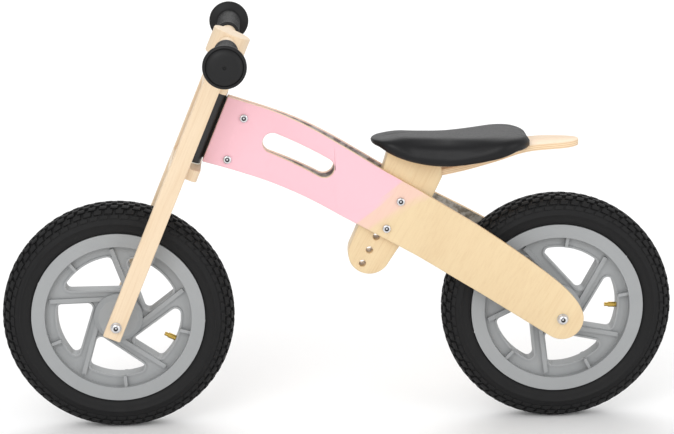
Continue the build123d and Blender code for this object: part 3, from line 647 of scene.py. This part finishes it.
class BIKE_OT_metalwork(bpy.types.Operator):
    """Finishes the bracket, bolts, axles, bearings and bushings"""

    bl_idname = "bike.metalwork"
    bl_label = "Metal and nylon parts"

    def execute(self, context):
        zinc = metal_material("zinc_finish", srgb(208, 208, 210), 0.30)
        bright = metal_material("aluminium_finish", srgb(216, 217, 220), 0.28)
        black = powder_material("powder_finish")
        nylon = plastic_material("nylon_finish", srgb(232, 230, 222), 0.05, 0.4)
        plain = {
            "head_bracket": black, "upper_head_bushing": nylon, "lower_head_bushing": nylon,
            "front_axle_sleeve": bright, "rear_axle_sleeve": bright,
            "front_hub_bearings": bright, "rear_hub_bearings": bright,
            "front_axle_spacers": nylon, "rear_axle_spacers": nylon,
        }
        for node, material in plain.items():
            coat_node(node, material)
        fixings = ["head_nuts", "seat_nuts", "seat_screws"]
        fixings += ["stem_fasteners", "steering_pin", "steering_nut"]
        for end in ("front", "rear"):
            fixings += [f"{end}_axle_{part}" for part in ("nut", "washers")]
            axes = bolt_axes(f"{end}_axle_bolt", 1)
            coat_node(f"{end}_axle_bolt", bolt_material(f"{end}_bolt_finish", axes))
            coat_node(f"{end}_valve", valve_material(f"{end}_valve_finish", wheel_centre(end)))
        for node in fixings:
            coat_node(node, zinc)
        for node in ("head_bolts", "seat_bolts"):
            coat_node(node, bolt_material(node + "_finish", bolt_axes(node, 2)))
        return {"FINISHED"}


# ---------------------------------------------------------------- wheels
TYRE_TURNS = 160                # faces round the carcass
BLOCK_SKEW = 0.6 * MM           # how far a block's sides lean round the tyre
WHISKERS = 46                   # on each tyre


def wheel_centre(end):
    """Middle of a wheel."""
    low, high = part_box(f"{end}_tyre")
    return (low + high) / 2


def tyre_profile(radius, half, rim):
    """Carcass outline in (radius, y), from one bead over the crown to the other."""
    rise = radius - rim
    right = [
        (rim + 0.2 * MM, 0.66 * half), (rim + 0.03 * rise, 0.80 * half),
        (rim + 0.10 * rise, 0.88 * half), (rim + 0.22 * rise, 0.945 * half),
        (rim + 0.34 * rise, 0.965 * half), (rim + 0.36 * rise, half),
        (rim + 0.40 * rise, half), (rim + 0.42 * rise, 0.96 * half),
        (rim + 0.52 * rise, 0.955 * half), (rim + 0.66 * rise, 0.90 * half),
        (rim + 0.78 * rise, 0.78 * half), (rim + 0.87 * rise, 0.58 * half),
        (rim + 0.915 * rise, 0.34 * half), (rim + 0.925 * rise, 0.0),
    ]
    left = [(r, -y) for r, y in reversed(right[:-1])]
    return right + left


def crown_arc(radius, half, rim):
    """Lengths along the carcass from the crown, and the (radius, y) points there."""
    rise = radius - rim
    outline = [p for p in tyre_profile(radius, half, rim) if p[0] > rim + 0.41 * rise and p[1] >= 0]
    outline = sorted(outline, key=lambda p: p[1] if p[0] > rim + 0.5 * rise else p[1] + half)
    points = np.array(outline)
    steps = np.hypot(*np.diff(points, axis=0).T)
    lengths = np.concatenate([[0.0], np.cumsum(steps)])
    return lengths, points


def carcass_point(arc, reach):
    """(radius, y, outward radius, outward y) at a signed length from the crown."""
    lengths, points = arc
    length = min(abs(reach), lengths[-1])
    radius = float(np.interp(length, lengths, points[:, 0]))
    y = float(np.interp(length, lengths, points[:, 1]))
    ahead, behind = min(length + 0.002, lengths[-1]), max(length - 0.002, 0.0)
    run_r = float(np.interp(ahead, lengths, points[:, 0]) - np.interp(behind, lengths, points[:, 0]))
    run_y = float(np.interp(ahead, lengths, points[:, 1]) - np.interp(behind, lengths, points[:, 1]))
    size = math.hypot(run_r, run_y) or 1.0
    out_r, out_y = run_y / size, -run_r / size
    side = 1.0 if reach >= 0 else -1.0
    return radius, y * side, out_r, out_y * side


def tread_block(verts, faces, arc, angle, reach, length, width, height, skew=0.0):
    """One rounded-off rubber block standing on the carcass."""
    base = len(verts)
    levels = ((-1.2 * MM, 1.0, 1.0), (height * 0.72, 0.93, 0.93), (height, 0.80, 0.80))
    cuts = (-1.0, 0.0, 1.0)
    for rise, scale_l, scale_w in levels:
        for across in cuts:
            radius, y, out_r, out_y = carcass_point(arc, reach + across * width / 2 * scale_w)
            for along in (-1.0, 1.0):
                turn = angle + (along * length / 2 * scale_l + skew * across) / radius
                r = radius + out_r * rise
                verts.append((r * math.cos(turn), y + out_y * rise, r * math.sin(turn)))
    ring = [0, 1, 3, 5, 4, 2]
    for level in range(2):
        low, high = base + 6 * level, base + 6 * (level + 1)
        for i, corner in enumerate(ring):
            after = ring[(i + 1) % 6]
            faces.append((low + corner, low + after, high + after, high + corner))
    top = base + 12
    faces.append((top, top + 1, top + 3, top + 2))
    faces.append((top + 2, top + 3, top + 5, top + 4))


def tread_rows():
    """Each row's distance from the crown, share of the pitch, width, shift and share of the height."""
    rows = [(0.0, 0.62, 5.6 * MM, 0.0, 1.0)]
    for reach, share, width, shift, tall in (
        (6.6, 0.66, 4.8, 0.5, 0.97), (13.0, 0.70, 5.6, 0.0, 0.92),
        (20.0, 0.74, 5.8, 0.5, 0.80), (26.5, 0.80, 5.0, 0.0, 0.45),
    ):
        rows += [(side * reach * MM, share, width * MM, shift, tall) for side in (1.0, -1.0)]
    return rows


def make_tyre(end, body, material):
    """Knobbly tyre: a carcass with a sidewall ring, rows of blocks and moulding whiskers."""
    wheel = settings("bike_wheels")
    low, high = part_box(f"{end}_tyre")
    radius, half = (high.z - low.z) / 2, (high.y - low.y) / 2
    rim = (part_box(f"{end}_rim")[1].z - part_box(f"{end}_rim")[0].z) / 2
    centre = wheel_centre(end)
    carcass = lathe(f"{end}_tyre_carcass", tyre_profile(radius, half, rim), TYRE_TURNS, centre)
    arc = crown_arc(radius, half, rim)
    verts, faces = [], []
    count = wheel.blocks
    pitch = 2 * math.pi / count
    run = pitch * radius
    height = wheel.block_height
    for reach, share, width, shift, tall in tread_rows():
        for i in range(count):
            tread_block(
                verts, faces, arc, (i + shift) * pitch, reach, run * share, width, height * tall,
                math.copysign(BLOCK_SKEW, reach))
    verts = [Vector(v) + centre for v in verts]
    blocks = new_piece(f"{end}_tread_blocks", verts, faces, smooth=False)
    clean_mesh(blocks.data)
    for piece in (carcass, blocks):
        finish_piece(piece, body, material, [f"{end}_tyre"])
    finish_piece(make_whiskers(end, centre, arc), body, material, [f"{end}_tyre"])


def make_whiskers(end, centre, arc):
    """Short moulding whiskers left on the tyre's shoulders."""
    chance = random.Random(17 if end == "front" else 29)
    verts, faces = [], []
    for _ in range(WHISKERS):
        angle = chance.uniform(0, 2 * math.pi)
        reach = chance.choice((-1, 1)) * chance.uniform(18, 31) * MM
        radius, y, out_r, out_y = carcass_point(arc, reach)
        length = chance.uniform(1.2, 2.6) * MM
        lean = chance.uniform(-0.5, 0.5)
        base = len(verts)
        for k, (rise, thick) in enumerate(((-0.5 * MM, 0.45 * MM), (length, 0.28 * MM))):
            for corner in range(4):
                swing = corner * math.pi / 2
                turn = angle + (thick * math.cos(swing) + lean * max(rise, 0)) / radius
                r = radius + out_r * rise
                verts.append(Vector((
                    r * math.cos(turn), y + out_y * rise + thick * math.sin(swing), r * math.sin(turn),
                )) + centre)
        for corner in range(4):
            after = (corner + 1) % 4
            faces.append((base + corner, base + after, base + 4 + after, base + 4 + corner))
        faces.append((base + 4, base + 5, base + 6, base + 7))
    return new_piece(f"{end}_tyre_whiskers", verts, faces, smooth=False)


class BIKE_OT_wheels(bpy.types.Operator):
    """Builds the knobbly tyres and finishes the moulded wheels"""

    bl_idname = "bike.wheels"
    bl_label = "Wheels"

    def execute(self, context):
        wheel = settings("bike_wheels")
        plastic = plastic_material("wheel_finish", wheel.plastic, 0.12)
        tyre = rubber_material("tyre_finish", wheel.rubber, 0.62)
        tube = rubber_material("tube_finish", wheel.rubber, 0.55)
        for end in ("front", "rear"):
            body = f"{end}_wheel"
            coat_node(f"{end}_rim", plastic)
            coat_node(f"{end}_inner_tube", tube)
            make_tyre(end, body, tyre)
        return {"FINISHED"}


# ---------------------------------------------------------------- grips
GRIP_RIBS = 17
FLANGE_REACH = 11.2 * MM        # how far the flange stands out from the barrel
FLANGE_DOME = 3.5 * MM          # how far the end's middle stands out from the flange


class BIKE_OT_grips(bpy.types.Operator):
    """Builds the rubber grips with their dished safety flanges"""

    bl_idname = "bike.grips"
    bl_label = "Handlebar grips"

    def execute(self, context):
        material = rubber_material("grip_finish", srgb(17, 17, 18), 0.50, 0.15)
        for side, node in ((-1.0, "left_grip"), (1.0, "right_grip")):
            low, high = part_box(node)
            flange = (high.z - low.z) / 2
            inner, outer = (low.y, high.y) if side > 0 else (-high.y, -low.y)
            barrel = flange - FLANGE_REACH
            centre = Vector(((low.x + high.x) / 2, 0, (low.z + high.z) / 2))
            bore = (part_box("handlebar")[1].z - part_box("handlebar")[0].z) / 2
            face = outer - FLANGE_DOME
            profile = [(bore, inner), (barrel - 1.0 * MM, inner), (barrel, inner + 1.0 * MM)]
            start, end = inner + 6 * MM, face - 16 * MM
            for i in range(GRIP_RIBS):
                y = start + (end - start) * i / (GRIP_RIBS - 1)
                profile += [
                    (barrel, y - 1.7 * MM), (barrel - 0.55 * MM, y - 1.1 * MM),
                    (barrel - 0.55 * MM, y + 1.1 * MM), (barrel, y + 1.7 * MM),
                ]
            profile += [
                (barrel, face - 9.5 * MM), (barrel + 1.2 * MM, face - 8.0 * MM),
                (flange - 3.0 * MM, face - 6.6 * MM), (flange - 0.8 * MM, face - 5.6 * MM),
                (flange, face - 3.6 * MM), (flange - 0.5 * MM, face - 1.2 * MM),
                (flange - 1.8 * MM, face - 0.1 * MM), (flange - 3.4 * MM, face),
                (flange - 4.0 * MM, face - 0.9 * MM), (flange - 4.6 * MM, face - 0.2 * MM),
                (flange - 7.0 * MM, face + 1.9 * MM), (flange - 11.0 * MM, face + 3.0 * MM),
                (flange - 17.0 * MM, face + 3.5 * MM), (2.3 * MM, face + 3.45 * MM),
                (1.8 * MM, face + 1.8 * MM), (0.0, face + 1.4 * MM),
            ]
            profile = [(r, y * side) for r, y in profile]
            piece = lathe(node + "_moulded", profile, 96, centre)
            sharp_smooth(piece.data, 50)
            finish_piece(piece, "fork", material, [node])
        return {"FINISHED"}


# ---------------------------------------------------------------- seat cushion
SEAT_NOSE_RADIUS = 38 * MM
SEAT_REAR_RADIUS = 42 * MM
SEAT_POINTS = 96                # round each outline
CLOTH_STEPS = 18
PUCKER_TOP = 0.45               # share of the height under which the cover is gathered
PUCKER_DEPTH = 0.35 * MM
SEAT_BLUNT_NOSE = 50 * MM       # length over which the nose changes from blunt to rounded sides
SEAT_GATHER = 5.5 * MM          # how far the cover is drawn in at the back
SEAT_TUCK = 8.7 * MM            # how far the cover is tucked under its own edge
SEAT_SIDE = (                   # millimetres in from the outline, share of the height
    (8.7, 0.0), (5.2, 0.01), (2.6, 0.07), (1.0, 0.17), (0.4, 0.31), (0.5, 0.46), (1.6, 0.60),
    (4.0, 0.73), (7.5, 0.825), (12.5, 0.895), (19.0, 0.94), (26.0, 0.962),
)
SEAT_CROWN = (                  # share of the last outline that is left, share of the height
    (0.84, 0.975), (0.66, 0.986), (0.48, 0.993), (0.30, 0.998), (0.14, 1.0),
)


def plan_half_width(x, low, high, inset):
    """Half width of the seat in plan: a round nose, straight sides and rounded rear corners."""
    nose_r, rear_r = SEAT_NOSE_RADIUS - inset, SEAT_REAR_RADIUS - inset
    nose = Vector((low.x + SEAT_NOSE_RADIUS, 0.0))
    rear = Vector((high.x - SEAT_REAR_RADIUS, high.y - SEAT_REAR_RADIUS))
    gap = (rear - nose).length
    tilt = math.atan2(rear.y - nose.y, rear.x - nose.x) + math.asin((rear_r - nose_r) / gap)
    normal = Vector((-math.sin(tilt), math.cos(tilt)))
    start, end = nose + normal * nose_r, rear + normal * rear_r
    if x <= start.x:
        return math.sqrt(max(nose_r ** 2 - (x - nose.x) ** 2, 0.0))
    if x >= end.x:
        return rear.y + math.sqrt(max(rear_r ** 2 - (x - rear.x) ** 2, 0.0)) if x < high.x - inset else 0.0
    return start.y + (end.y - start.y) * (x - start.x) / (end.x - start.x)


def seat_box():
    """The cushion's box, drawn in a little at the back where the cover is gathered."""
    low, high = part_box("seat_cushion")
    return low, high - Vector((SEAT_GATHER, 0, 0))


class BIKE_OT_cushion(bpy.types.Operator):
    """Builds and inflates the padded seat"""

    bl_idname = "bike.cushion"
    bl_label = "Seat cushion"

    def execute(self, context):
        seat = settings("bike_seat")
        piece = self.shell()
        self.inflate(piece, seat)
        self.pucker(piece)
        smoother = piece.modifiers.new("Fine", "SUBSURF")
        smoother.levels = 1
        smoother.render_levels = 1
        apply_modifiers(piece)
        piece.data.shade_smooth()
        finish_piece(
            piece, "frame", leather_material("seat_finish", seat.leather), ["seat_cushion"])
        return {"FINISHED"}

    def outline(self, inset, count):
        """Closed plan outline, evenly turned round the middle of the seat."""
        low, high = seat_box()
        points = []
        for i in range(count):
            share = i / count
            x = low.x + inset + (high.x - low.x - 2 * inset) * (1 - math.cos(2 * math.pi * share)) / 2
            y = plan_half_width(x, low, high, inset)
            points.append((x, y if share <= 0.5 else -y))
        return points

    def shell(self):
        """Closed skin with a crowned top, and a recess that keeps it off the base."""
        low, high = seat_box()
        seat = settings("bike_seat")
        top_line = profile_line("seat_cushion", True)
        base_line = profile_line("seat_base", True)
        under_line = profile_line(
            "seat_cushion", False, lambda x: max(plan_half_width(x, low, high, 0.0) - 4 * MM, 0.0))

        def top(x):
            inner = min(max(x, low.x + 16 * MM), high.x - 20 * MM)
            return float(np.interp(inner, *top_line)) - seat.sink

        def skirt(x):
            inner = min(max(x, low.x + 11 * MM), high.x - 19 * MM)
            return float(np.interp(inner, *under_line))

        def plate(x):
            return float(np.interp(x, *base_line)) + 0.6 * MM

        def height(x, share):
            if share is None:
                return plate(x)
            blunt = 0.6 + 0.4 * min(max((x - low.x) / SEAT_BLUNT_NOSE, 0.0), 1.0)
            return skirt(x) + (top(x) - skirt(x)) * share ** blunt

        loops = [(SEAT_TUCK, None, keep) for keep in (0.14, 0.34, 0.56, 0.78, 1.0)]
        loops += [(inset * MM, share, 1.0) for inset, share in SEAT_SIDE]
        loops += [(SEAT_SIDE[-1][0] * MM, share, keep) for keep, share in SEAT_CROWN]
        count = SEAT_POINTS
        middle = (low.x + high.x) / 2
        verts, faces = [], []
        for inset, share, keep in loops:
            for x, y in self.outline(inset, count):
                x = middle + (x - middle) * keep
                verts.append((x, y * keep, height(x, share)))
        for ring in range(len(loops) - 1):
            for i in range(count):
                after = (i + 1) % count
                a, b = ring * count + i, ring * count + after
                faces.append((a, b, b + count, a + count))
        for start, share in ((0, None), ((len(loops) - 1) * count, 1.0)):
            verts.append((middle, 0.0, height(middle, share)))
            for i in range(count):
                faces.append((start + i, start + (i + 1) % count, len(verts) - 1))
        piece = new_piece("seat_cushion_cover", verts, faces)
        clean_mesh(piece.data, 1e-5)
        return piece

    def inflate(self, piece, seat):
        """Cloth simulation of the cover over its padding, held at the base."""
        points = mesh_points(piece)
        low, high = seat_box()
        floor = np.interp(points[:, 0], *profile_line("seat_base", True)) + 1.0 * MM
        pins = piece.vertex_groups.new(name="held")
        for i in np.nonzero(points[:, 2] < floor)[0]:
            x, y, _ = points[i]
            if abs(y) < plan_half_width(x, low, high, 8.6 * MM) + 0.2 * MM:
                pins.add([int(i)], 1.0, "REPLACE")
        cloth = piece.modifiers.new("Cloth", "CLOTH")
        cloth.settings.quality = 6
        cloth.settings.mass = 0.3
        cloth.settings.use_pressure = True
        cloth.settings.uniform_pressure_force = seat.pressure
        cloth.settings.tension_stiffness = 25
        cloth.settings.compression_stiffness = 12
        cloth.settings.bending_stiffness = 0.6
        cloth.settings.vertex_group_mass = "held"
        cloth.settings.effector_weights.gravity = 0
        cloth.collision_settings.use_collision = False
        scene = bpy.context.scene
        for step in range(1, CLOTH_STEPS + 1):
            scene.frame_set(step)
        graph = bpy.context.evaluated_depsgraph_get()
        moved = bpy.data.meshes.new_from_object(piece.evaluated_get(graph))
        after = np.zeros(len(moved.vertices) * 3, np.float32)
        moved.vertices.foreach_get("co", after)
        shift = after.reshape(-1, 3).astype(float) - points
        size = np.linalg.norm(shift, axis=1, keepdims=True)
        shift *= np.minimum(1.0, seat.swell / np.maximum(size, 1e-9))
        piece.modifiers.clear()
        piece.data.vertices.foreach_set("co", (points + shift).astype(np.float32).ravel())
        piece.data.update()
        scene.frame_set(1)

    def pucker(self, piece):
        """Small gathers where the cover is pulled under the base."""
        low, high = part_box("seat_cushion")
        middle = Vector(((low.x + high.x) / 2, 0, 0))
        for vertex in piece.data.vertices:
            share = (vertex.co.z - low.z) / (high.z - low.z)
            if share < PUCKER_TOP:
                out = Vector((vertex.co.x - middle.x, vertex.co.y, 0))
                angle = math.atan2(out.y, out.x)
                wave = math.sin(angle * 57) + 0.6 * math.sin(angle * 91 + 1.3)
                fall = (1 - share / PUCKER_TOP) ** 1.5
                vertex.co += out.normalized() * wave * PUCKER_DEPTH * fall
        piece.data.update()


# ---------------------------------------------------------------- stage
FLOOR_REACH = 14.0
FLOOR_DROP = 0.5 * MM           # keeps the tyres' whiskers above the floor
LIGHTS = (                      # name, place, goal, size, power
    ("key_light", (-1.1, -2.7, 2.0), (0.0, 0.0, 0.25), 2.2, 44.0),
    ("fill_light", (2.3, -2.0, 1.3), (0.0, 0.0, 0.25), 2.0, 20.0),
    ("back_light", (0.2, 1.7, 2.6), (0.0, 0.0, 0.25), 1.8, 12.0),
    ("floor_light", (0.0, 5.0, 3.5), (0.0, 4.6, 0.0), 6.0, 130.0),
)
WORLD_STRENGTH = 0.72
CAMERA_PLACE = Vector((-88.0, -2526.0, 897.6)) * MM
CAMERA_YAW = 2.0                # degrees
CAMERA_PITCH = 13.92
CAMERA_ROLL = -0.72
CAMERA_LENS = 108.59            # millimetres
CAMERA_SENSOR = 36.0


class BIKE_OT_stage(bpy.types.Operator):
    """Adds the floor, soft lights and the camera"""

    bl_idname = "bike.stage"
    bl_label = "Stage"

    def execute(self, context):
        self.floor()
        self.lights()
        self.camera()
        return {"FINISHED"}

    def floor(self):
        """Plain pale floor."""
        corners = ((-1, -1), (1, -1), (1, 1), (-1, 1))
        verts = [(x * FLOOR_REACH, y * FLOOR_REACH, -FLOOR_DROP) for x, y in corners]
        floor = new_piece("studio_floor", verts, [(0, 1, 2, 3)])
        finish = Finish("floor_finish", 0.75, specular=0.2)
        cloud = finish.noise(finish.place(), 1.2, 2.0)
        finish.set("Base Color", finish.mix(cloud, srgb(244, 244, 244), srgb(250, 250, 250)))
        floor.data.materials.append(finish.material)

    def lights(self):
        """One large soft key from the upper left, a fill, a back light and one for the far floor."""
        for name, place, goal, size, power in LIGHTS:
            data = bpy.data.lights.new(name, "AREA")
            data.size = size
            data.energy = power
            light = bpy.data.objects.new(name, data)
            light.location = place
            aim = Vector(goal) - Vector(place)
            light.rotation_euler = aim.to_track_quat("-Z", "Y").to_euler()
            bpy.context.scene.collection.objects.link(light)
        world = bpy.data.worlds.new("studio_world")
        world.use_nodes = True
        world.node_tree.nodes["Background"].inputs["Color"].default_value = (1, 1, 1, 1)
        world.node_tree.nodes["Background"].inputs["Strength"].default_value = WORLD_STRENGTH
        bpy.context.scene.world = world
        bpy.context.scene.view_settings.view_transform = "Standard"

    def camera(self):
        """Long lens from the bike's left, a little above it."""
        yaw, pitch, roll = (math.radians(angle) for angle in (CAMERA_YAW, CAMERA_PITCH, CAMERA_ROLL))
        ahead = Vector((math.sin(yaw) * math.cos(pitch), math.cos(yaw) * math.cos(pitch), -math.sin(pitch)))
        right = Vector((math.cos(yaw), -math.sin(yaw), 0))
        up = right.cross(ahead)
        side = right * math.cos(roll) + up * math.sin(roll)
        top = up * math.cos(roll) - right * math.sin(roll)
        data = bpy.data.cameras.new("camera")
        data.lens = CAMERA_LENS
        data.sensor_width = CAMERA_SENSOR
        camera = bpy.data.objects.new("camera", data)
        turn = Matrix((side, top, -ahead)).transposed().to_4x4()
        camera.matrix_world = Matrix.Translation(CAMERA_PLACE) @ turn
        bpy.context.scene.collection.objects.link(camera)
        bpy.context.scene.camera = camera


class BIKE_PT_panel(bpy.types.Panel):
    """Lists the bike's pieces in the sidebar"""

    bl_label = "Balance bike"
    bl_space_type = "VIEW_3D"
    bl_region_type = "UI"
    bl_category = "Bike"

    def draw(self, context):
        for operator in OPERATORS:
            self.layout.operator(operator.bl_idname)
        for group in ("bike_wood", "bike_wheels", "bike_seat"):
            box = self.layout.box()
            chosen = getattr(context.scene, group)
            for name in chosen.__annotations__:
                box.prop(chosen, name)


GROUPS = (("bike_wood", WoodSettings), ("bike_wheels", WheelSettings), ("bike_seat", SeatSettings))
OPERATORS = (
    BIKE_OT_stage, BIKE_OT_frame_panels, BIKE_OT_seat_wood, BIKE_OT_fork_wood,
    BIKE_OT_metalwork, BIKE_OT_wheels, BIKE_OT_grips, BIKE_OT_cushion,
)


def register():
    """Register the settings, operators and panel."""
    for name, group in GROUPS:
        bpy.utils.register_class(group)
        setattr(bpy.types.Scene, name, bpy.props.PointerProperty(type=group))
    for operator in OPERATORS:
        bpy.utils.register_class(operator)
    bpy.utils.register_class(BIKE_PT_panel)


def unregister():
    """Remove them again."""
    bpy.utils.unregister_class(BIKE_PT_panel)
    for operator in reversed(OPERATORS):
        bpy.utils.unregister_class(operator)
    for name, group in reversed(GROUPS):
        delattr(bpy.types.Scene, name)
        bpy.utils.unregister_class(group)


def main():
    """Build every piece in order."""
    register()
    for operator in OPERATORS:
        family, name = operator.bl_idname.split(".")
        getattr(getattr(bpy.ops, family), name)()
    bpy.context.view_layer.update()


if __name__ == "__main__":
    main()
